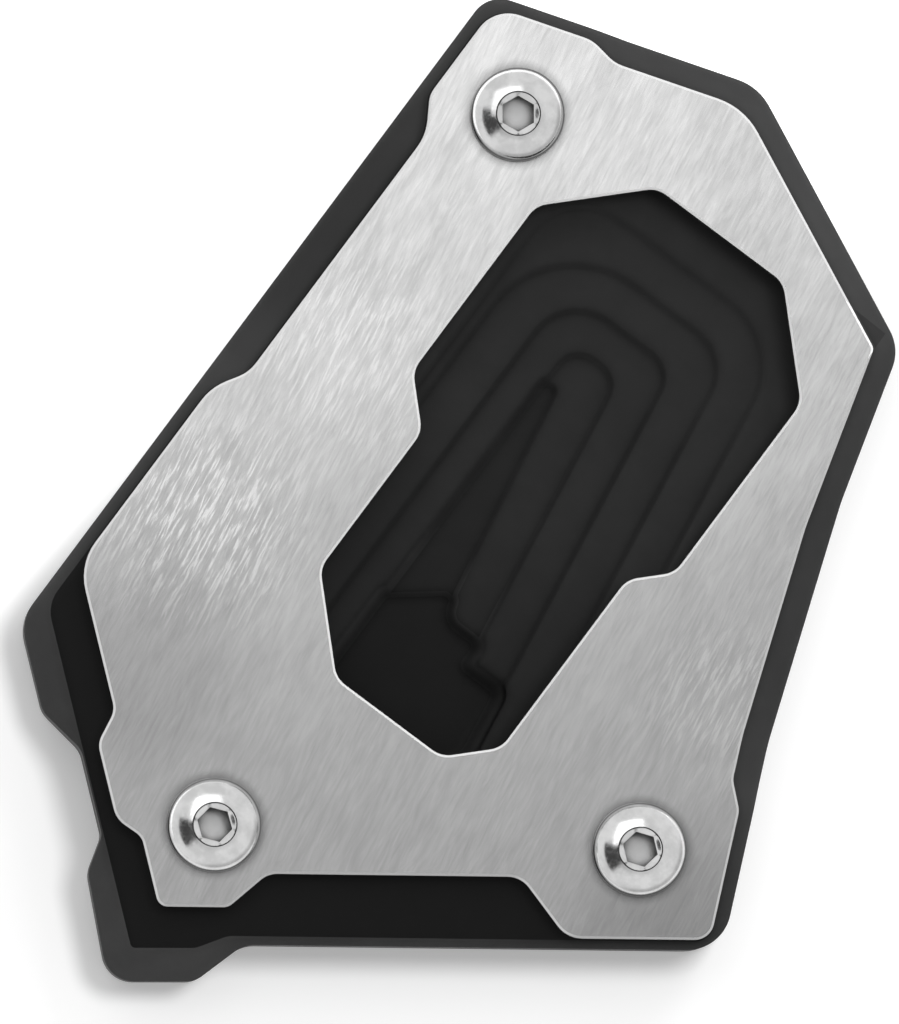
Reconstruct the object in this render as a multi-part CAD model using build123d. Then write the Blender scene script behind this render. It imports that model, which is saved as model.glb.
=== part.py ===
from build123d import *
from math import hypot, radians, tan
import os

os.makedirs("parts", exist_ok=True)

# Kickstand foot enlarger: a milled black base whose stepped pocket takes the foot of a side
# stand, and a steel clamp plate that three button head screws hold down over the foot's rim.
# Millimetres. The base stands on Z = 0. X runs across the window and Y along it, and the
# sketches are measured from the middle of the window.

# Thicknesses, all along Z
base_height = 11.0
plate_thickness = 3.0
edge_break = 0.25
underside_break = 0.5

# Overall size of the base, and its left side and lowest tip from the middle of the window
base_width = 85.0
base_length = 123.9
base_left = -37.2
base_tip = -74.9
base_right = base_left + base_width
base_top = base_tip + base_length
side_bend_radius = 20.0

# Corners of its right side, in from the right tip and down from the top
side_top_inset = 24.3
side_top_drop = 14.1
side_middle_inset = 19.3
side_middle_drop = 31.8
side_bottom_inset = 9.7

# Outline of the base, clockwise: the edge that starts at a corner, then x, y and corner radius
base_outline = {
    "flank": (base_left, -48.4, 5.0),
    "crown": (base_left, base_top - 9.8, 3.5),
    "shoulder": (-6.7, base_top, 6.0),
    "side_top": (base_right - side_top_inset, base_top - side_top_drop, 5.0),
    "side_middle": (base_right - side_middle_inset, base_top - side_middle_drop, side_bend_radius),
    "side_bottom": (base_right - side_bottom_inset, -9.4, side_bend_radius),
    "sole": (base_right, -31.1, 5.0),
    "toe_side": (4.5, base_tip + 12.3, 4.0),
    "toe_end": (2.6, base_tip + 5.8, 3.0),
    "toe_front": (-5.2, base_tip, 3.5),
    "toe_back": (-14.3, base_tip + 8.4, 3.0),
    "notch": (-15.5, base_tip + 12.6, 2.0),
    "instep": (-23.1, -56.0, 3.0),
    "left_foot": (-29.1, -55.1, 3.0),
}
base_corners = list(base_outline.values())
edge = {name: place for place, name in enumerate(base_outline)}

# Distance of the clamp plate's edge from the edge of the base below it
narrow_margin = 1.5
recess_margin = 3.9
wide_margin = 3.1
shoulder_margin = 2.9
side_margin = 3.2
heel_margin = 1.75
sole_margin = 1.1

# Places along the base's edges where the plate's margin changes: a start is measured from
# the edge's first corner and an end from its last
recess_start = 33.4
recess_end = 13.3
recess_ramp = 3.9
crown_jog = 12.6
crown_jog_length = 3.2
side_jog = 5.0
side_jog_length = 3.2

# Corner radii along those edges: recess, crown, its jog, shoulder, side, its jog and heel
recess_radii = [6.5, 4.5, 6.0, 3.0]
crown_radii = [4.0, 4.0, 4.0]
side_radii = [8.0, 1.0, side_bend_radius, side_bend_radius]
heel_radii = [2.4, 2.4, 2.2]
followed_radii = recess_radii + crown_radii + side_radii + heel_radii

# Top face of the base where the plate leaves it bare, and the slope that falls from its rim
top_land = 0.15
left_foot_margin = 3.3
toe_margin = 3.7
toe_step = 1.8
top_free_radii = [3.0, 2.0, 0.6, 4.0]
slope_angle = 45.0
slope_reach = 5.6

# Free edge of the plate, over the bare top face
sole_bay_depth = 7.9
sole_bay_start = 17.6
sole_bay_ramp = 5.2
sole_bay_end = 2.5
plate_toe_margin = 4.1
plate_toe_start = 1.9
plate_foot_margin = 7.7
plate_heel_margin = 7.3
plate_lug_margin = 5.0
plate_lug_start = 1.9
plate_lug_ramp = 3.1
plate_lug_length = 11.8
plate_lug_rise = 2.6
plate_sole_radii = [3.5, 3.0, 2.8, 1.6]
plate_foot_radii = [1.3, 2.0, 3.0, 2.5, 2.5, 6.5]

# Window in the plate: wide above its waist and narrow below it, with every corner cut at 45.
# Its place is given by how much of the base lies beside it, above it and below it
left_of_window = 18.45
right_of_window = 29.6
above_window = 16.3
below_window = 42.2
window_left = base_left + left_of_window
window_right = base_right - right_of_window
window_top = base_top - above_window
window_bottom = base_tip + below_window
window_step_left = 4.9
window_step_right = 3.85
window_waist_left = 0.0
window_waist_right = -0.6
window_top_cut = 9.7
window_left_cut = 8.8
window_right_cut = 4.8
window_corner = 3.0

# Pocket in the base: it reaches under the plate by the rim, and steps down in terraces
pocket_rim = 2.3
pocket_depth = 3.0
pocket_corner = 4.0
pocket_cove = 1.2
terrace_step = 0.8
terrace_wall = 0.55
terrace_slant = 8.8
terrace_gauge = 12.2

# Edges of the terraces from the highest down, the right ones at the gauge height, and the
# radii of their top corners
terrace_left = [-17.4, -16.0, -10.4, -6.1]
terrace_top = [27.7, 22.9, 18.0, 13.6]
terrace_right = [15.2, 10.5, 5.4, 0.5]
terrace_bottom = [-34.0, -34.0, -34.0, -26.0]
terrace_radius_left = [7.0, 11.5, 6.0, 3.0]
terrace_radius_right = [9.0, 5.5, 3.5, 3.0]
terrace_foot_left = 3.0
terrace_foot_right = 6.0

# Valley beside the finger, which widens below the finger's end, and the lowest floor in it
finger_width = 4.7
finger_top = (-2.1, 8.5)
finger_bottom = (3.0, -17.5)
ledge_end = -22.9
floor_bottom = -34.0
floor_corner = 0.85
floor_foot = 4.0
lowest_top_left = -21.5
lowest_top_right = -16.6

# Screws: M6 button heads with a 4 mm hexagon socket
crown_screw_inset = 10.7
crown_screw_drop = 19.1
toe_screw_rise = 20.9
heel_screw_inset = 14.3
screw_places = [
    (base_left + crown_screw_inset, base_top - crown_screw_drop),
    (-6.2, base_tip + toe_screw_rise),
    (base_right - heel_screw_inset, -27.8),
]
screw_names = ["clamp_screw_crown", "clamp_screw_toe", "clamp_screw_heel"]
screw_turns = [0.0, 12.0, 20.0]
thread_diameter = 6.0
thread_length = 12.0
thread_point = 0.7
thread_clearance = 0.05
head_diameter = 10.5
head_height = 3.3
head_land = 0.35
head_flat = 5.3
socket_width = 4.0
socket_depth = 2.1
plate_hole = 6.6
hole_lead = 0.5


def edge_line(corners, i, inset):
    """Line of the outline's edge i, moved in by the inset: a point and a direction."""
    x, y = corners[i][:2]
    next_x, next_y = corners[(i + 1) % len(corners)][:2]
    length = hypot(next_x - x, next_y - y)
    ux, uy = (next_x - x) / length, (next_y - y) / length
    return (x + uy * inset, y - ux * inset), (ux, uy)


def on_edge(corners, i, distance, inset):
    """Point at that distance along edge i, moved in by the inset."""
    (x, y), (ux, uy) = edge_line(corners, i, inset)
    return x + ux * distance, y + uy * distance


def before_end(corners, i, distance, inset):
    """Point at that distance short of the end of edge i, moved in by the inset."""
    x, y = corners[i][:2]
    next_x, next_y = corners[(i + 1) % len(corners)][:2]
    return on_edge(corners, i, hypot(next_x - x, next_y - y) - distance, inset)


def meet(first, second):
    """Point where two lines cross."""
    (x0, y0), (ux, uy) = first
    (x1, y1), (vx, vy) = second
    along = ((x1 - x0) * vy - (y1 - y0) * vx) / (ux * vy - uy * vx)
    return x0 + ux * along, y0 + uy * along


def at_corner(corners, i, before, after):
    """Corner i of the outline, moved in from the edge before it and the edge after it."""
    return meet(edge_line(corners, i - 1, before), edge_line(corners, i, after))


def rounded(points, radii):
    """Corners made of points and their radii."""
    return [(x, y, radius) for (x, y), radius in zip(points, radii, strict=True)]


def grown(corners, distance):
    """Outline with every edge moved out, so that its round corners stay concentric."""
    result = []
    for i, (_, _, radius) in enumerate(corners):
        _, (ux, uy) = edge_line(corners, i - 1, 0)
        _, (vx, vy) = edge_line(corners, i, 0)
        turns_in = ux * vy - uy * vx < 0
        new_radius = radius + distance if turns_in else max(radius - distance, edge_break)
        result.append(at_corner(corners, i, -distance, -distance) + (new_radius,))
    return result


def outline_face(corners, height=0.0):
    """Flat face inside the outline, with its corners rounded."""
    points = [(x, y) for x, y, _ in corners]
    radii = [radius for _, _, radius in corners]
    return Pos(0, 0, height) * make_face(FilletPolyline(*points, radius=radii, close=True))


def followed_edges(land):
    """Corners along which the plate follows the base, from the flank round to the heel."""
    narrow = narrow_margin - land
    deep = recess_margin - land
    wide = wide_margin - land
    brow = shoulder_margin - land
    side = side_margin - land
    heel = heel_margin - land
    base = base_corners
    flank, crown, side_bottom = edge["flank"], edge["crown"], edge["side_bottom"]
    points = [
        on_edge(base, flank, recess_start, narrow),
        on_edge(base, flank, recess_start + recess_ramp, deep),
        before_end(base, flank, recess_end + recess_ramp, deep),
        before_end(base, flank, recess_end, narrow),
        at_corner(base, crown, narrow, narrow),
        on_edge(base, crown, crown_jog, narrow),
        on_edge(base, crown, crown_jog + crown_jog_length, wide),
        at_corner(base, edge["shoulder"], wide, brow),
        at_corner(base, edge["side_top"], brow, brow),
        at_corner(base, edge["side_middle"], brow, side),
        at_corner(base, side_bottom, side, side),
        on_edge(base, side_bottom, side_jog, side),
        on_edge(base, side_bottom, side_jog + side_jog_length, heel),
        at_corner(base, edge["sole"], heel, sole_margin - land),
    ]
    return rounded(points, followed_radii)


def top_face_corners():
    """Rim of the base's flat top: under the plate's edge, and bare at the left and bottom."""
    base = base_corners
    sole, toe_end, left_foot = edge["sole"], edge["toe_end"], edge["left_foot"]
    left_line = edge_line(base, left_foot, left_foot_margin)
    points = [
        before_end(base, sole, -toe_step, sole_margin - top_land),
        on_edge(base, toe_end, 0.0, toe_margin),
        meet(left_line, edge_line(base, toe_end, toe_margin)),
        at_corner(base, edge["flank"], left_foot_margin, narrow_margin - top_land),
    ]
    return followed_edges(top_land) + rounded(points, top_free_radii)


def plate_corners():
    """Outline of the clamp plate, with its bays at the sole and its lug at the left foot."""
    base = base_corners
    sole, left_foot = edge["sole"], edge["left_foot"]
    toe_line = edge_line(base, sole, plate_toe_margin)
    lug_end = -plate_lug_start - plate_lug_length
    points = [
        on_edge(base, sole, sole_bay_start, sole_margin),
        on_edge(base, sole, sole_bay_start + sole_bay_ramp, sole_bay_depth),
        before_end(base, sole, sole_bay_end, sole_bay_depth),
        before_end(base, sole, -plate_toe_start, plate_toe_margin),
        meet(toe_line, edge_line(base, left_foot, plate_heel_margin)),
        on_edge(base, left_foot, lug_end - plate_lug_rise, plate_heel_margin),
        on_edge(base, left_foot, lug_end, plate_lug_margin),
        on_edge(base, left_foot, -plate_lug_start - plate_lug_ramp, plate_lug_margin),
        on_edge(base, left_foot, -plate_lug_start, plate_foot_margin),
        at_corner(base, edge["flank"], plate_foot_margin, narrow_margin),
    ]
    return followed_edges(0.0) + rounded(points, plate_sole_radii + plate_foot_radii)


def window_corners():
    """Outline of the window, clockwise from the lower left."""
    narrow_left = window_left + window_step_left
    narrow_right = window_right - window_step_right
    points = [
        (narrow_left, window_bottom + window_left_cut),
        (narrow_left, window_waist_left - window_step_left),
        (window_left, window_waist_left),
        (window_left, window_top - window_top_cut),
        (window_left + window_top_cut, window_top),
        (window_right - window_top_cut, window_top),
        (window_right, window_top - window_top_cut),
        (window_right, window_waist_right),
        (narrow_right, window_waist_right - window_step_right),
        (narrow_right, window_bottom + window_right_cut),
        (narrow_right - window_right_cut, window_bottom),
        (narrow_left + window_left_cut, window_bottom),
    ]
    return [(x, y, window_corner) for x, y in points]


def cutter(corners, depth, steps=1):
    """Solid that cuts down to the depth, with a slanted wall as high as that many steps."""
    floor = outline_face(grown(corners, -terrace_wall / 2), base_height - depth)
    wide = grown(corners, (steps - 0.5) * terrace_wall)
    brow = outline_face(wide, base_height - depth + steps * terrace_step)
    return loft([floor, brow], ruled=True) + extrude(brow, amount=depth)


def right_edge(level, y):
    """Where the right edge of a terrace is at that height: it leans out towards its foot."""
    return terrace_right[level] + (terrace_gauge - y) * tan(radians(terrace_slant))


def terrace_corners(level):
    """One terrace: straight on the left, and leaning out on the right."""
    left, top, bottom = terrace_left[level], terrace_top[level], terrace_bottom[level]
    return [
        (left, bottom, terrace_foot_left),
        (left, top, terrace_radius_left[level]),
        (right_edge(level, top), top, terrace_radius_right[level]),
        (right_edge(level, bottom), bottom, terrace_foot_right),
    ]


def valley_corners(narrow_part):
    """Valley at the left of the finger and the wide part below it, or its lowest floor only."""
    left = terrace_left[-1]
    half = finger_width / 2
    inner_right = right_edge(-1, ledge_end) - terrace_wall
    outer_right = right_edge(-2, ledge_end) - terrace_wall
    foot_right = right_edge(-2, floor_bottom) - terrace_wall
    finger_end = finger_bottom[1] - half
    finger_lean = (finger_bottom[0] - finger_top[0]) / (finger_end - finger_top[1])
    top_left, top_right = finger_top[1], finger_top[1]
    if not narrow_part:
        top_left, top_right = lowest_top_left, lowest_top_right
    finger_side = finger_top[0] - half + (top_right - finger_top[1]) * finger_lean
    return [
        (left, floor_bottom, terrace_foot_left),
        (left, top_left, floor_corner),
        (finger_side, top_right, floor_corner),
        (finger_bottom[0] - half, finger_end, half),
        (inner_right, finger_end, floor_corner),
        (inner_right, ledge_end, floor_corner),
        (outer_right, ledge_end, floor_corner),
        (foot_right, floor_bottom, floor_foot),
    ]


def slope_skirt():
    """Everything under the top face and the slope that falls outwards from its rim."""
    rim = top_face_corners()
    drop = tan(radians(slope_angle))
    break_drop = edge_break * tan(radians(slope_angle / 2))
    slope_foot = base_height - break_drop - (slope_reach - edge_break) * drop
    outer = grown(rim, slope_reach)
    sections = [
        outline_face(outer, 0.0),
        outline_face(outer, slope_foot),
        outline_face(grown(rim, edge_break), base_height - break_drop),
        outline_face(rim, base_height),
    ]
    return loft(sections, ruled=True)


def make_base():
    """Milled base: sloped rim, stepped pocket and three tapped holes right through."""
    body = extrude(outline_face(base_corners), amount=base_height)
    body = chamfer(body.faces().sort_by(Axis.Z)[0].edges(), underside_break)
    body = body & slope_skirt()
    window = window_corners()
    pocket = outline_face([(x, y, pocket_corner) for x, y, _ in grown(window, pocket_rim)])
    well = extrude(Pos(0, 0, base_height - pocket_depth) * pocket, amount=base_height)
    body -= fillet(well.faces().sort_by(Axis.Z)[0].edges(), pocket_cove)
    shaft = extrude(pocket, amount=base_height)
    depth = pocket_depth
    for level in range(len(terrace_left)):
        depth += terrace_step
        body -= cutter(terrace_corners(level), depth) & shaft
    body -= cutter(valley_corners(True), depth + terrace_step, steps=2) & shaft
    body -= cutter(valley_corners(False), depth + 2 * terrace_step, steps=3) & shaft
    hole_radius = thread_diameter / 2 + thread_clearance
    lead_radius = hole_radius + hole_lead
    for x, y in screw_places:
        body -= Pos(x, y, base_height / 2) * Cylinder(hole_radius, base_height)
        lead = Cone(lead_radius, hole_radius, hole_lead)
        body -= Pos(x, y, hole_lead / 2) * lead
        body -= Pos(x, y, base_height - hole_lead / 2) * Rot(180, 0, 0) * lead
    return body


def make_plate():
    """Steel clamp plate with its window and three clearance holes."""
    sheet = outline_face(plate_corners()) - outline_face(window_corners())
    for x, y in screw_places:
        sheet -= Pos(x, y) * Circle(plate_hole / 2)
    plate = extrude(Pos(0, 0, base_height) * sheet, amount=plate_thickness)
    return chamfer(plate.faces().sort_by(Axis.Z)[-1].edges(), edge_break)


def make_screw(turn):
    """Button head screw, with the underside of its head on Z = 0."""
    head_radius = head_diameter / 2
    flat_radius = head_flat / 2
    # The dome is part of a sphere centred on the axis, through the land's edge and the flat's
    rise = head_height - head_land
    centre_z = (head_radius**2 - flat_radius**2 + head_land**2 - head_height**2) / (-2 * rise)
    dome_radius = hypot(head_radius, head_land - centre_z)
    middle_x = (head_radius + flat_radius) / 2
    middle_z = centre_z + (dome_radius**2 - middle_x**2) ** 0.5
    thread_radius = thread_diameter / 2
    profile = Polyline(
        (0, head_height),
        (0, -thread_length),
        (thread_radius - thread_point, -thread_length),
        (thread_radius, -thread_length + thread_point),
        (thread_radius, 0),
        (head_radius, 0),
        (head_radius, head_land),
    )
    dome = ThreePointArc((head_radius, head_land), (middle_x, middle_z), (flat_radius, head_height))
    lid = Line((flat_radius, head_height), (0, head_height))
    section = make_face(Plane.XZ * (profile + dome + lid))
    screw = revolve(section, Axis.Z)
    hexagon = RegularPolygon(socket_width / 2, 6, major_radius=False, rotation=turn)
    screw -= extrude(Pos(0, 0, head_height - socket_depth) * hexagon, amount=socket_depth)
    return screw


def main():
    base = make_base()
    parts = {"base": base, "clamp_plate": make_plate()}
    for name, (x, y), turn in zip(screw_names, screw_places, screw_turns):
        parts[name] = Pos(x, y, base_height + plate_thickness) * make_screw(turn)
    # The origin of the whole part is under the middle of its footprint
    middle = base.bounding_box().center()
    for name, shape in parts.items():
        export_step(Pos(-middle.X, -middle.Y, 0) * shape, f"parts/{name}.step")


main()
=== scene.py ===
import math

import bmesh
import bpy
from mathutils import Euler, Matrix, Vector


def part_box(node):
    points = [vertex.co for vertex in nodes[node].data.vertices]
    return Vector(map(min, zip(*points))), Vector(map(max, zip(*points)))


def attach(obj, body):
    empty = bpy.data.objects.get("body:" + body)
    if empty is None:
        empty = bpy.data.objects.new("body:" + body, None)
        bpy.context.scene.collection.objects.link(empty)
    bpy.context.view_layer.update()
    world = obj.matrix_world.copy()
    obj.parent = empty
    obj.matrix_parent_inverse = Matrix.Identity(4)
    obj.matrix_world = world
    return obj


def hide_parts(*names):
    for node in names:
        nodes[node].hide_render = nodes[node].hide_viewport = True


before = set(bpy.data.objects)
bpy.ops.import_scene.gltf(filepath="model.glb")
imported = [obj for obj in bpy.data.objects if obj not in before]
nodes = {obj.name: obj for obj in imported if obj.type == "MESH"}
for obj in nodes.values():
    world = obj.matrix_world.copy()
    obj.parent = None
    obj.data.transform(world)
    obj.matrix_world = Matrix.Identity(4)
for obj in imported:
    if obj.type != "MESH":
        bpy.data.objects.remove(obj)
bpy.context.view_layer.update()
scene = bpy.context.scene
print("frame loaded:", sorted(nodes))


# helpers for materials

def newMaterial(name):
    material = bpy.data.materials.new(name)
    material.use_nodes = True
    tree = material.node_tree
    tree.nodes.clear()
    output = tree.nodes.new("ShaderNodeOutputMaterial")
    return material, tree, output


def addNode(tree, kind, settings=None, **inputs):
    # plain values are set on the new node's sockets and sockets are linked to them; i0 is input 0
    node = tree.nodes.new("ShaderNode" + kind)
    for key, value in (settings or {}).items():
        setattr(node, key, value)
    for key, value in inputs.items():
        byNumber = key[0] == "i" and key[1:].isdigit()
        socket = node.inputs[int(key[1:])] if byNumber else node.inputs[key.replace("_", " ")]
        if isinstance(value, bpy.types.NodeSocket):
            tree.links.new(value, socket)
        else:
            socket.default_value = value
    return node


def between(tree, value, low, high, lowValue=0.0, highValue=1.0):
    # a soft step from lowValue to highValue while the value goes from low to high
    node = addNode(tree, "MapRange", {"interpolation_type": "SMOOTHSTEP"}, Value=value,
                   From_Min=low, From_Max=high, To_Min=lowValue, To_Max=highValue)
    return node.outputs[0]


def calculate(tree, operation, first, second):
    return addNode(tree, "Math", {"operation": operation}, i0=first, i1=second).outputs[0]


def multiply(tree, first, second):
    return calculate(tree, "MULTIPLY", first, second)


def mixNumbers(tree, factor, first, second):
    return addNode(tree, "Mix", {"data_type": "FLOAT"}, i0=factor, i2=first, i3=second).outputs[0]


def mixColours(tree, factor, first, second):
    return addNode(tree, "Mix", {"data_type": "RGBA"}, i0=factor, i6=first, i7=second).outputs[2]


def scaleColour(tree, colour, factor):
    return addNode(tree, "VectorMath", {"operation": "SCALE"}, i0=colour, Scale=factor).outputs[0]


def measure(tree, operation, first, second):
    # a distance or a dot product, which come out as one number
    return addNode(tree, "VectorMath", {"operation": operation}, i0=first, i1=second).outputs["Value"]


def axes(tree, vector):
    return addNode(tree, "SeparateXYZ", Vector=vector).outputs


def shelter(tree, reach, samples):
    # 1 in the open, less where other faces stand within reach
    return addNode(tree, "AmbientOcclusion", {"samples": samples}, Distance=reach).outputs["AO"]


def noise(tree, vector, scale, detail=3.0, roughness=0.55, distortion=0.0):
    node = addNode(tree, "TexNoise", Vector=vector, Scale=scale, Detail=detail, Roughness=roughness,
                   Distortion=distortion)
    return node.outputs[0]


def grey(value):
    return (value, value, value, 1)


def wear(obj, material):
    obj.data.materials.clear()
    obj.data.materials.append(material)


# the stand's foot goes through the plate's window into the base's pocket; both lie in this area

window = {
    "middle": (-0.0048, 0.0126, 0.0),
    "reach": (0.0213, 0.0353),  # half its width and half its length
}


def overWindow(tree, place):
    # 1 over the window and the pocket, 0 elsewhere
    offset = addNode(tree, "VectorMath", {"operation": "SUBTRACT"}, i0=place, i1=window["middle"]).outputs[0]
    offset = addNode(tree, "VectorMath", {"operation": "ABSOLUTE"}, i0=offset).outputs[0]
    across, along, _ = axes(tree, offset)
    inWidth = calculate(tree, "LESS_THAN", across, window["reach"][0])
    inLength = calculate(tree, "LESS_THAN", along, window["reach"][1])
    return multiply(tree, inWidth, inLength)


# brushed steel of the clamp plate: broken streaks along the grain, soft blotches, bright edges, a painted
# highlight on the window's edge, and painted light and shade in spots and beside the screws' heads

plate = {
    "grainTurn": 9.7,  # degrees from +Y towards -X
    "hairs": (3600, 330, 900),  # how fine the noise is across the grain, along it and in depth
    "streaks": (1500, 210, 400),
    "patches": (330, 120, 150),
    "blotches": 60.0,
    "streakShare": 0.55,  # of streaks against hairs
    "blotchShare": 0.4,  # of blotches against patches
    "softShare": 0.42,  # of both of these against streaks and hairs
    "paleFrom": 0.60,
    "deepFrom": 0.40,
    "pale": grey(0.66),
    "deep": grey(0.52),
    "edge": grey(0.60),
    "windowEdgeHighlight": grey(0.95),
    "windowMetal": 0.15,  # low on the window's edge, since metal doesn't mirror the key and side lamps; with it the near-white edge is a painted highlight that those lamps light
    "contact": 0.0012,  # metres over which painted shade darkens the plate beside a screw's head
    "paintedContactShade": 0.5,
    "roughness": 0.22,
    "roughnessSwing": 0.02,
    "bump": (0.10, 0.00003),  # strength and height
    "rubbed": (  # where the streaks are strongest: middle, reach and strength
        ((-0.0325, -0.0150, 0.014), 0.016, 0.75),
        ((-0.0305, 0.0103, 0.014), 0.018, 0.22),
        ((0.0265, 0.0040, 0.014), 0.012, 0.35),
    ),
    "scratchPale": grey(0.97),
    "scratchDeep": grey(0.40),
    "deepScratches": 0.45,  # how strong the dark scratches are beside the pale ones
    # painted light and shade: spots where the photograph shows the plate darker or lighter: middle, reach,
    # factor
    "paintedSpots": (
        ((-0.0285, -0.0317, 0.014), 0.017, 0.82),
        ((0.0398, -0.0213, 0.014), 0.020, 0.78),
        ((-0.0300, 0.0090, 0.014), 0.014, 1.08),
    ),
}


def rubScratches(tree, surface, place, hairs):
    for middle, reach, strength in plate["rubbed"]:
        near = between(tree, measure(tree, "DISTANCE", place, middle), reach, reach * 0.2)
        bright = multiply(tree, near, between(tree, hairs, 0.50, 0.64, 0.0, strength))
        dark = multiply(tree, near, between(tree, hairs, 0.47, 0.36, 0.0, strength * plate["deepScratches"]))
        surface = mixColours(tree, bright, surface, plate["scratchPale"])
        surface = mixColours(tree, dark, surface, plate["scratchDeep"])
    return surface


def makeBrushedSteel():
    material, tree, output = newMaterial("brushedSteel")
    coords = addNode(tree, "TexCoord")
    place = coords.outputs["Object"]
    turn = (0, 0, math.radians(-plate["grainTurn"]))
    grain = addNode(tree, "Mapping", Vector=place, Rotation=turn).outputs[0]
    stretched = {}
    for name in ("hairs", "streaks", "patches"):
        stretched[name] = addNode(tree, "Mapping", Vector=grain, Scale=plate[name]).outputs[0]
    hairs = noise(tree, stretched["hairs"], 1.0, 3.0, 0.6, 0.3)
    streaks = noise(tree, stretched["streaks"], 1.0, 4.0, 0.6, 0.8)
    patches = noise(tree, stretched["patches"], 1.0, 3.0, 0.55, 0.6)
    blotches = noise(tree, place, plate["blotches"], 3.0, 0.5)
    fine = mixNumbers(tree, plate["streakShare"], hairs, streaks)
    soft = mixNumbers(tree, plate["blotchShare"], patches, blotches)
    both = mixNumbers(tree, plate["softShare"], fine, soft)

    shade = addNode(tree, "ValToRGB", Fac=both)
    deep, pale = shade.color_ramp.elements
    deep.position, deep.color = plate["deepFrom"], plate["deep"]
    pale.position, pale.color = plate["paleFrom"], plate["pale"]
    surface = rubScratches(tree, shade.outputs[0], place, hairs)
    # painted contact shade beside the screws' heads, times the painted spots of light and shade
    paintedShading = between(tree, shelter(tree, plate["contact"], 4), 0.5, 1.0, plate["paintedContactShade"], 1.0)
    for middle, reach, factor in plate["paintedSpots"]:
        away = measure(tree, "DISTANCE", place, middle)
        paintedShading = multiply(tree, paintedShading, between(tree, away, reach, reach * 0.3, 1.0, factor))
    surface = scaleColour(tree, surface, paintedShading)

    up = axes(tree, coords.outputs["Normal"])[2]
    slanted = multiply(tree, between(tree, up, 0.9, 0.8), between(tree, up, 0.3, 0.5))
    inWindow = overWindow(tree, place)
    # the window's slanted edge gets a painted highlight: near white and mostly not metal
    edge = mixColours(tree, inWindow, plate["edge"], plate["windowEdgeHighlight"])
    colour = mixColours(tree, slanted, surface, edge)
    onWindowHighlight = multiply(tree, slanted, inWindow)
    metallic = between(tree, onWindowHighlight, 0.0, 1.0, 1.0, plate["windowMetal"])
    rough = addNode(tree, "MapRange", Value=both, From_Min=0.35, From_Max=0.65,
                    To_Min=plate["roughness"] + plate["roughnessSwing"],
                    To_Max=plate["roughness"] - plate["roughnessSwing"]).outputs[0]
    strength, depth = plate["bump"]
    bump = addNode(tree, "Bump", Height=fine, Strength=strength, Distance=depth).outputs[0]
    metal = addNode(tree, "BsdfPrincipled", Base_Color=colour, Metallic=metallic, Roughness=rough,
                    Normal=bump)
    tree.links.new(metal.outputs[0], output.inputs[0])
    return material


# black satin finish of the base, with painted light and shade: near black on its flat top, greyer on slopes
# and in the pocket, as the photograph shows them, where the differences stand for how light falls on one
# finish

base = {
    # painted light and shade: one black finish, written near black on the flat top, greyer on slopes and
    # darker on upright walls
    "top": grey(0.003),
    "slope": grey(0.032),
    "wall": grey(0.024),
    # painted shade: the pocket's floors are darker the deeper they lie, the pool's floor darkest
    "ledge": grey(0.019),
    "pocket": grey(0.017),
    "lowest": grey(0.007),
    "paintedCreviceShade": grey(0.004),
    "crevice": 0.0030,  # metres over which painted shade darkens a step's foot
    "creviceFull": 0.65,  # how sheltered a step's foot is where it is darkest, 1 being open
    "creviceFade": (0.020, 0.038),  # along Y, where the painted shade at the steps grows faint
    "creviceFaintest": 0.08,
    "creviceLow": (0.0034, 0.0060),  # heights between which the painted dark line comes in
    "creviceLowest": 0.2,
    "lowWallsPaintedLight": (2.4, 1.3),  # painted light: how much lighter the lowest walls are, at the pool and above it
    "stepWallsPaintedLight": 1.1,  # the same painted light for the walls of the steps
    "wallSplit": (0.0048, 0.0056),  # heights between the two
    "poolEnd": (-0.004, 0.002),  # along Y, where the pool ends
    "heelEnd": (-0.014, 0.012),  # along Y, where the pocket grows darker
    "heelShade": 0.66,
    "soften": 0.0018,  # radius by which the edges look rounded
    "roughness": 0.48,
    "gloss": 0.15,
    "mottle": 0.07,  # how uneven the finish is
    "topHeight": 0.0109,
    "undersideHeight": 0.0005,  # below this a face is the flat underside, not the pocket
    "steps": (0.0032, 0.0050, 0.0080),  # heights of the lowest floor, the finger and the ledge
    # painted light and shade: spots of the rim where the photograph shows it darker or lighter: middle,
    # reach, factor
    "paintedSpots": (
        ((-0.0405, 0.0209, 0.008), 0.020, 0.52),
        ((0.0363, -0.0231, 0.008), 0.024, 0.60),
        ((0.0260, 0.0174, 0.008), 0.022, 0.82),
        ((0.0036, 0.0524, 0.008), 0.022, 1.22),
        ((-0.0100, -0.0580, 0.006), 0.018, 1.50),
        ((-0.0366, -0.0375, 0.006), 0.018, 1.25),
    ),
}


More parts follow.
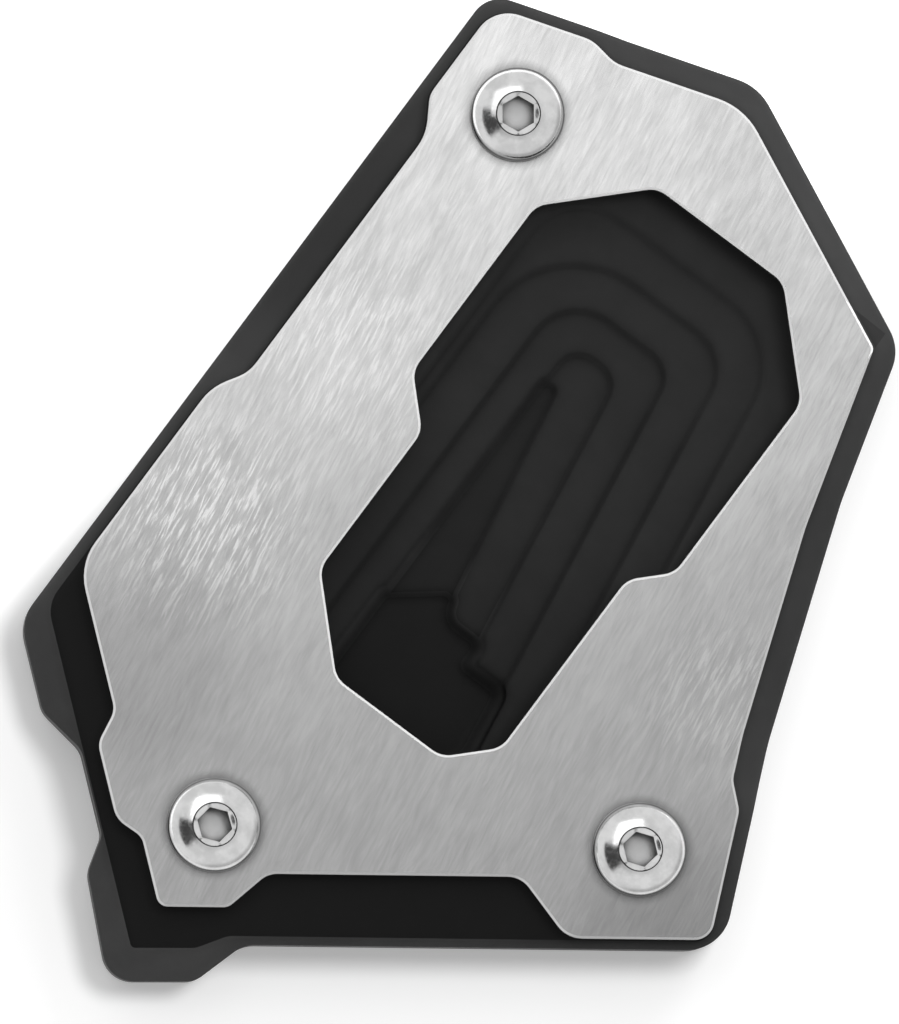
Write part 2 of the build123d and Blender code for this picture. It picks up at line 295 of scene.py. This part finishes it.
def pocketColour(tree, place, up):
    # painted light and shade: floors darker the deeper they lie, painted shade at the feet of the steps,
    # walls painted lighter, and darker towards the heel end
    _, along, height = axes(tree, place)
    low, middle, high = base["steps"]
    colour = mixColours(tree, between(tree, height, middle, high), base["pocket"], base["ledge"])
    colour = mixColours(tree, between(tree, height, low, middle), base["lowest"], colour)
    # painted shade at the feet of the steps, where other faces stand near
    closed = addNode(tree, "MapRange", Value=shelter(tree, base["crevice"], 6), From_Min=1.0,
                     From_Max=base["creviceFull"]).outputs[0]
    faint = multiply(tree, between(tree, along, *base["creviceFade"], 1.0, base["creviceFaintest"]),
                     between(tree, height, *base["creviceLow"], base["creviceLowest"], 1.0))
    colour = mixColours(tree, multiply(tree, closed, faint), colour, base["paintedCreviceShade"])
    walls = between(tree, along, *base["poolEnd"], *base["lowWallsPaintedLight"])
    walls = mixNumbers(tree, between(tree, height, *base["wallSplit"]), walls, base["stepWallsPaintedLight"])
    walls = mixNumbers(tree, between(tree, up, 0.85, 0.6), 1.0, walls)
    heel = between(tree, along, *base["heelEnd"], base["heelShade"], 1.0)
    return scaleColour(tree, colour, multiply(tree, walls, heel))


def rimColour(tree, place, up):
    # painted light and shade: slopes lighter than upright walls, spots of painted light and shade, and the
    # flat top near black
    colour = mixColours(tree, between(tree, up, 0.2, 0.5), base["wall"], base["slope"])
    for middle, reach, factor in base["paintedSpots"]:
        away = measure(tree, "DISTANCE", place, middle)
        colour = scaleColour(tree, colour, between(tree, away, reach, reach * 0.3, 1.0, factor))
    return mixColours(tree, between(tree, up, 0.93, 0.99), colour, base["top"])


def makeBlackAnodised():
    material, tree, output = newMaterial("blackAnodised")
    coords = addNode(tree, "TexCoord")
    place = coords.outputs["Object"]
    height = axes(tree, place)[2]
    up = axes(tree, coords.outputs["Normal"])[2]
    under = multiply(tree, calculate(tree, "LESS_THAN", height, base["topHeight"]),
                     calculate(tree, "GREATER_THAN", height, base["undersideHeight"]))
    inPocket = multiply(tree, overWindow(tree, place), under)
    shade = mixColours(tree, inPocket, rimColour(tree, place, up), pocketColour(tree, place, up))
    mottle = noise(tree, place, 240.0, 4.0, 0.55)
    uneven = between(tree, mottle, 0.3, 0.7, 1.0 - base["mottle"], 1.0 + base["mottle"])
    colour = scaleColour(tree, shade, uneven)
    grainPlace = addNode(tree, "Mapping", Vector=place, Scale=(2600, 2600, 2600)).outputs[0]
    grain = noise(tree, grainPlace, 1.0, 2.0, 0.5)
    rounded = addNode(tree, "Bevel", {"samples": 4}, Radius=base["soften"]).outputs[0]
    bump = addNode(tree, "Bump", Height=grain, Strength=0.12, Distance=0.00003, Normal=rounded).outputs[0]
    skin = addNode(tree, "BsdfPrincipled", Base_Color=colour, Roughness=base["roughness"], Normal=bump,
                   Specular_IOR_Level=base["gloss"])
    tree.links.new(skin.outputs[0], output.inputs[0])
    return material


# polished steel of the screws, faintly uneven, with painted shade on the socket's walls, in its corners and
# on the head's upright edge

screwSteel = {
    "pale": grey(0.73),
    "deep": grey(0.61),
    "wall": grey(0.10),  # painted shade on the socket's walls
    "land": grey(0.34),  # painted dark line on the head's upright edge
    "landHeight": 0.01545,
    "bottom": grey(0.62),
    "bottomHeight": 0.01530,  # below this a face that looks up is the socket's dull bottom
    "bottomMetal": 0.15,
    "bottomRoughness": 0.5,
    "corner": grey(0.10),  # painted shade on the socket's bottom beside its walls
    "cornerReach": 0.0014,
    "roughness": (0.11, 0.21),
}


def makePolishedSteel():
    material, tree, output = newMaterial("polishedSteel")
    coords = addNode(tree, "TexCoord")
    cloud = noise(tree, coords.outputs["Object"], 420.0, 3.0, 0.55)
    fine = noise(tree, coords.outputs["Object"], 2600.0, 2.0, 0.5)
    height = axes(tree, coords.outputs["Object"])[2]
    upright = calculate(tree, "ABSOLUTE", axes(tree, coords.outputs["Normal"])[2], 0.0)
    isBottom = calculate(tree, "LESS_THAN", height, screwSteel["bottomHeight"])
    isLand = calculate(tree, "LESS_THAN", height, screwSteel["landHeight"])
    inShadedCorner = between(tree, shelter(tree, screwSteel["cornerReach"], 4), 0.35, 0.95)
    dull = mixColours(tree, inShadedCorner, screwSteel["corner"], screwSteel["bottom"])
    shade = mixColours(tree, between(tree, cloud, 0.35, 0.65), screwSteel["deep"], screwSteel["pale"])
    shade = mixColours(tree, isBottom, shade, dull)
    # painted shade on the head's upright edge and the socket's walls
    side = mixColours(tree, isLand, screwSteel["wall"], screwSteel["land"])
    shade = mixColours(tree, between(tree, upright, 0.40, 0.60), side, shade)
    rough = between(tree, fine, 0.3, 0.7, *screwSteel["roughness"])
    rough = calculate(tree, "MAXIMUM", rough, multiply(tree, isBottom, screwSteel["bottomRoughness"]))
    metallic = addNode(tree, "MapRange", Value=isBottom, To_Min=1.0,
                       To_Max=screwSteel["bottomMetal"]).outputs[0]
    bump = addNode(tree, "Bump", Height=cloud, Strength=0.15, Distance=0.00005).outputs[0]
    metal = addNode(tree, "BsdfPrincipled", Base_Color=shade, Metallic=metallic, Roughness=rough,
                    Normal=bump)
    tree.links.new(metal.outputs[0], output.inputs[0])
    return material


wear(nodes["clamp_plate"], makeBrushedSteel())
wear(nodes["base"], makeBlackAnodised())
polishedSteel = makePolishedSteel()
print("finishes on")


# button head screws with their sockets and threads, all sizes in metres

screw = {
    "headRadius": 0.00525,
    "headHeight": 0.0033,
    "land": 0.00115,  # plain edge under the dome
    "landRound": 0.00014,
    "domeSteps": 14,
    "ringRadius": 0.00252,  # where the dome ends, round the socket
    "ringGroove": 0.00020,
    "ringDip": 0.00010,
    "grooveScale": 0.955,  # how much the groove and the ring narrow, each from the loop before it
    "ringScale": 0.945,
    "socketWidth": 0.0035,
    "mouthLead": 0.00019,
    "leadDrop": 0.00015,
    "socketDepth": 0.00205,
    "coneRadius": 0.00160,
    "coneDepth": 0.00035,
    "shankRadius": 0.0030,
    "shankRound": 0.0003,
    "rootRadius": 0.00245,
    "rootDrop": 0.0005,  # from the shank's full width down to the thread's root
    "tipRound": 0.0004,
    "length": 0.0120,
    "point": 0.0007,
    "pitch": 0.0010,
    "neck": 0.0012,
    "sides": 96,
    "threadSides": 30,
    "sharpAngle": 32,  # degrees
    "turns": {"clamp_screw_crown": 36.7, "clamp_screw_toe": 52.0, "clamp_screw_heel": 50.0},
}


def domePoints():
    # from the ring round the socket down the flattened dome and round the land to the shank
    outer, low, rim, steps = screw["headRadius"], screw["land"], screw["landRound"], screw["domeSteps"]
    shank, root, soft = screw["shankRadius"], screw["rootRadius"], screw["shankRound"]
    neck, length = screw["neck"], screw["length"]
    first = math.asin(screw["ringRadius"] / outer)
    rise = (screw["headHeight"] - low) / math.cos(first)
    angles = [first + (math.pi / 2 - first) * i / steps for i in range(steps + 1)]
    points = [(outer * math.sin(angle), low + rise * math.cos(angle)) for angle in angles]
    points += [(outer, rim), (outer - 0.3 * rim, 0.3 * rim), (outer - rim, 0.0)]
    points += [(shank + soft, 0.0), (shank, -soft), (shank, -neck), (root, -neck - screw["rootDrop"])]
    points += [(root, -length + soft), (root - screw["tipRound"], -length), (0.0, -length)]
    return points


def spinProfile(bm, points, steps):
    line = [bm.verts.new((radius, 0, height)) for radius, height in points]
    edges = [bm.edges.new(pair) for pair in zip(line, line[1:])]
    bmesh.ops.spin(bm, geom=line + edges, cent=(0, 0, 0), axis=(0, 0, 1), angle=2 * math.pi,
                   steps=steps, use_merge=True)


def openEdges(bm, height):
    # the edges of the open loop at that height
    found = [edge for edge in bm.edges if edge.is_boundary or edge.is_wire]
    return [edge for edge in found if all(abs(vert.co.z - height) < 1e-6 for vert in edge.verts)]


def extrudeLoop(bm, edges, drop, scale):
    made = bmesh.ops.extrude_edge_only(bm, edges=edges)["geom"]
    verts = [item for item in made if isinstance(item, bmesh.types.BMVert)]
    bmesh.ops.scale(bm, vec=(scale, scale, 1), verts=verts)
    bmesh.ops.translate(bm, vec=(0, 0, -drop), verts=verts)
    newEdges = [item for item in made if isinstance(item, bmesh.types.BMEdge)]
    return verts, [edge for edge in newEdges if all(vert in verts for vert in edge.verts)]


def shapeHexagon(verts, width):
    for vert in verts:
        angle = math.atan2(vert.co.y, vert.co.x)
        fromFlat = (angle + math.pi / 6) % (math.pi / 3) - math.pi / 6
        radius = width / 2 / math.cos(fromFlat)
        vert.co.x, vert.co.y = radius * math.cos(angle), radius * math.sin(angle)


def shapeCircle(verts, radius):
    for vert in verts:
        angle = math.atan2(vert.co.y, vert.co.x)
        vert.co.x, vert.co.y = radius * math.cos(angle), radius * math.sin(angle)


def cutSocket(bm):
    # a fine groove, the ring, the hexagon with its slanted lead and walls, and a shallow drilled cone
    width, lead = screw["socketWidth"], screw["mouthLead"]
    dome = openEdges(bm, screw["headHeight"])
    _, groove = extrudeLoop(bm, dome, screw["ringGroove"], screw["grooveScale"])
    _, ring = extrudeLoop(bm, groove, screw["ringDip"], screw["ringScale"])
    mouth, mouthLoop = extrudeLoop(bm, ring, screw["ringDip"], 1.0)
    shapeHexagon(mouth, width + 2 * lead)
    throat, throatLoop = extrudeLoop(bm, mouthLoop, screw["leadDrop"], 1.0)
    shapeHexagon(throat, width)
    _, foot = extrudeLoop(bm, throatLoop, screw["socketDepth"], 1.0)
    rim, rimLoop = extrudeLoop(bm, foot, 0.0, 1.0)
    shapeCircle(rim, screw["coneRadius"])
    _, middle = extrudeLoop(bm, rimLoop, screw["coneDepth"] * 0.4, 0.7)
    tip, _ = extrudeLoop(bm, middle, screw["coneDepth"] * 0.6, 0.0)
    bmesh.ops.remove_doubles(bm, verts=tip, dist=1e-7)


def addThread(bm):
    # a ridge that winds down the shank, spun with a drop at every step
    pitch, root, crest = screw["pitch"], screw["rootRadius"], screw["shankRadius"]
    turns = (screw["length"] - screw["neck"] - screw["point"]) / pitch - 0.9
    start = -screw["neck"] - 0.0002
    buried = root - 0.0002
    spots = [(buried, start), (crest, start - 0.42 * pitch), (crest, start - 0.55 * pitch),
             (buried, start - 0.97 * pitch)]
    face = bm.faces.new([bm.verts.new((radius, 0, height)) for radius, height in spots])
    steps = int(turns * screw["threadSides"])
    bmesh.ops.spin(bm, geom=[face], cent=(0, 0, 0), axis=(0, 0, 1), angle=2 * math.pi * turns,
                   steps=steps, dvec=(0, 0, -pitch * turns / steps), use_duplicate=False)


def makeScrew(name):
    low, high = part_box(name)
    bm = bmesh.new()
    spinProfile(bm, domePoints(), screw["sides"])
    cutSocket(bm)
    addThread(bm)
    bmesh.ops.remove_doubles(bm, verts=bm.verts, dist=1e-7)
    bmesh.ops.recalc_face_normals(bm, faces=bm.faces)
    centre = ((low[0] + high[0]) / 2, (low[1] + high[1]) / 2, high[2] - screw["headHeight"])
    turn = Matrix.Rotation(math.radians(screw["turns"][name]), 4, "Z")
    bmesh.ops.transform(bm, matrix=Matrix.Translation(centre) @ turn, verts=bm.verts)
    for face in bm.faces:
        face.smooth = True
    mesh = bpy.data.meshes.new(name + ".detailed")
    bm.to_mesh(mesh)
    bm.free()
    mesh.set_sharp_from_angle(angle=math.radians(screw["sharpAngle"]))
    piece = bpy.data.objects.new(name + "_detailed", mesh)
    scene.collection.objects.link(piece)
    wear(piece, polishedSteel)
    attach(piece, "root")
    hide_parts(name)


for screwName in screw["turns"]:
    makeScrew(screwName)
print("screws made")


# floor, light and camera

floor = {
    "size": 6.0,
    "drop": 0.0002,  # keeps the paper off the base's underside
    "colour": grey(0.86),
    "lift": (0.25, 0.80),  # glow at the near end of the paper and at its far end; the stronger glow at the far end is painted light that pales the object's shadow there
    "farWay": (-0.86, 0.51, 0.0),
    "span": (0.015, 0.035),  # metres along farWay
}


def makeFloor():
    material, tree, output = newMaterial("floorPaper")
    paper = addNode(tree, "BsdfDiffuse", Color=floor["colour"]).outputs[0]
    far = measure(tree, "DOT_PRODUCT", addNode(tree, "TexCoord").outputs["Object"], floor["farWay"])
    lift = between(tree, far, *floor["span"], *floor["lift"])
    glow = addNode(tree, "Emission", Color=grey(1.0), Strength=lift).outputs[0]
    lit = addNode(tree, "AddShader", i0=paper, i1=glow).outputs[0]
    paths = addNode(tree, "LightPath").outputs
    seen = calculate(tree, "MAXIMUM", paths["Is Camera Ray"], paths["Is Glossy Ray"])
    front = addNode(tree, "MixShader", i0=seen, i1=paper, i2=lit).outputs[0]
    clear = addNode(tree, "BsdfTransparent").outputs[0]
    behind = addNode(tree, "NewGeometry").outputs["Backfacing"]  # from below, the underside shows through
    sheet = addNode(tree, "MixShader", i0=behind, i1=front, i2=clear).outputs[0]
    tree.links.new(sheet, output.inputs[0])
    mesh = bpy.data.meshes.new("floor")
    bm = bmesh.new()
    bmesh.ops.create_grid(bm, x_segments=1, y_segments=1, size=floor["size"])
    bmesh.ops.translate(bm, vec=(0, 0, -floor["drop"]), verts=bm.verts)
    bm.to_mesh(mesh)
    bm.free()
    obj = bpy.data.objects.new("floor", mesh)
    scene.collection.objects.link(obj)
    wear(obj, material)


room = {
    "brightSide": (0.20, 0.97, 0.10),  # where the room is brightest
    "middle": 0.42,
    "swing": 0.18,
    "whiteWalls": 0.92,  # what metal sees of the walls, and of the ceiling
    "ceiling": 0.52,
    "dimSide": (0.973, -0.230, 0.0),  # low down on this side the room is darker
    "dimmed": 0.62,
    "curtainSide": (-0.647, -0.762, 0.0),  # a dark curtain, between two sines of the elevation
    "curtain": 0.07,
    "curtainSpan": (0.56, 0.94),
    "curtainEdge": 0.03,
}


def hangCurtain(tree, level, rise):
    # 1 on the curtain and 0 beside it
    foot, top = room["curtainSpan"]
    soft = room["curtainEdge"]
    sideways = between(tree, measure(tree, "DOT_PRODUCT", level, room["curtainSide"]), 0.87, 0.93)
    upwards = multiply(tree, between(tree, rise, top + soft, top - soft),
                       between(tree, rise, foot - soft, foot + soft))
    return multiply(tree, sideways, upwards)


def makeWorld():
    world = bpy.data.worlds.new("studio")
    scene.world = world
    world.use_nodes = True
    tree = world.node_tree
    tree.nodes.clear()
    output = tree.nodes.new("ShaderNodeOutputWorld")
    way = addNode(tree, "TexCoord").outputs["Generated"]
    rise = axes(tree, way)[2]
    level = addNode(tree, "VectorMath", {"operation": "MULTIPLY"}, i0=way, i1=(1, 1, 0)).outputs[0]
    level = addNode(tree, "VectorMath", {"operation": "NORMALIZE"}, i0=level).outputs[0]
    facing = measure(tree, "DOT_PRODUCT", way, Vector(room["brightSide"]).normalized())
    even = addNode(tree, "Math", {"operation": "MULTIPLY_ADD"}, i0=facing, i1=room["swing"],
                   i2=room["middle"]).outputs[0]
    mirrored = between(tree, rise, 0.93, 0.80, room["ceiling"], room["whiteWalls"])
    paths = addNode(tree, "LightPath").outputs
    strength = mixNumbers(tree, paths["Is Glossy Ray"], even, mirrored)
    dimWay = measure(tree, "DOT_PRODUCT", level, room["dimSide"])
    dim = multiply(tree, between(tree, dimWay, 0.2, 0.8), between(tree, rise, 0.45, 0.12))
    strength = multiply(tree, strength, between(tree, dim, 0.0, 1.0, 1.0, room["dimmed"]))
    strength = mixNumbers(tree, hangCurtain(tree, level, rise), strength, room["curtain"])
    walls = addNode(tree, "Background", Color=grey(1.0), Strength=strength).outputs[0]
    white = addNode(tree, "Background", Color=grey(1.0), Strength=1.0).outputs[0]
    seen = calculate(tree, "MAXIMUM", paths["Is Camera Ray"], paths["Is Transmission Ray"])
    mixed = addNode(tree, "MixShader", i0=seen, i1=walls, i2=white).outputs[0]
    tree.links.new(mixed, output.inputs[0])


lamps = {  # place in metres, width and depth, power in watts, turn about its own axis in degrees
    "key": ((0.08, 0.20, 0.72), (0.20, 0.20), 2.4, 0),
    "side": ((-0.02, 0.55, 0.45), (0.22, 0.22), 0.7, 0),
    "softbox": ((-0.297, 0.144, 0.60), (0.50, 0.50), 0.79, 36.7),
}


def makeLamps():
    for name, (place, size, power, turn) in lamps.items():
        lamp = bpy.data.lights.new(name, "AREA")
        lamp.shape = "RECTANGLE" if name == "softbox" else "ELLIPSE"
        lamp.size, lamp.size_y = size
        lamp.energy = power
        obj = bpy.data.objects.new(name, lamp)
        scene.collection.objects.link(obj)
        obj.visible_glossy = name == "softbox"  # of the lamps, metal mirrors the softbox alone
        obj.location = place
        if name == "softbox":
            obj.rotation_euler = (0, 0, math.radians(turn))
        else:
            obj.rotation_euler = (Vector(place) - Vector((0, 0, 0.01))).to_track_quat("Z", "Y").to_euler()


camera = {
    "lens": 913.0,
    "distance": 2.9,
    "target": (-0.010726, 0.002402, 0.014),
    "turn": (1.92, -2.11, 36.70),  # degrees about X, Y and Z: almost straight down, and rolled
}


def makeCamera():
    data = bpy.data.cameras.new("camera")
    data.lens = camera["lens"]
    data.sensor_width = 36.0
    obj = bpy.data.objects.new("camera", data)
    scene.collection.objects.link(obj)
    turn = Euler([math.radians(angle) for angle in camera["turn"]])
    obj.rotation_euler = turn
    obj.location = Vector(camera["target"]) + turn.to_matrix() @ Vector((0, 0, camera["distance"]))
    scene.camera = obj


makeFloor()
makeWorld()
makeLamps()
makeCamera()
scene.view_settings.view_transform = "Standard"
print("floor, lamps and camera placed")
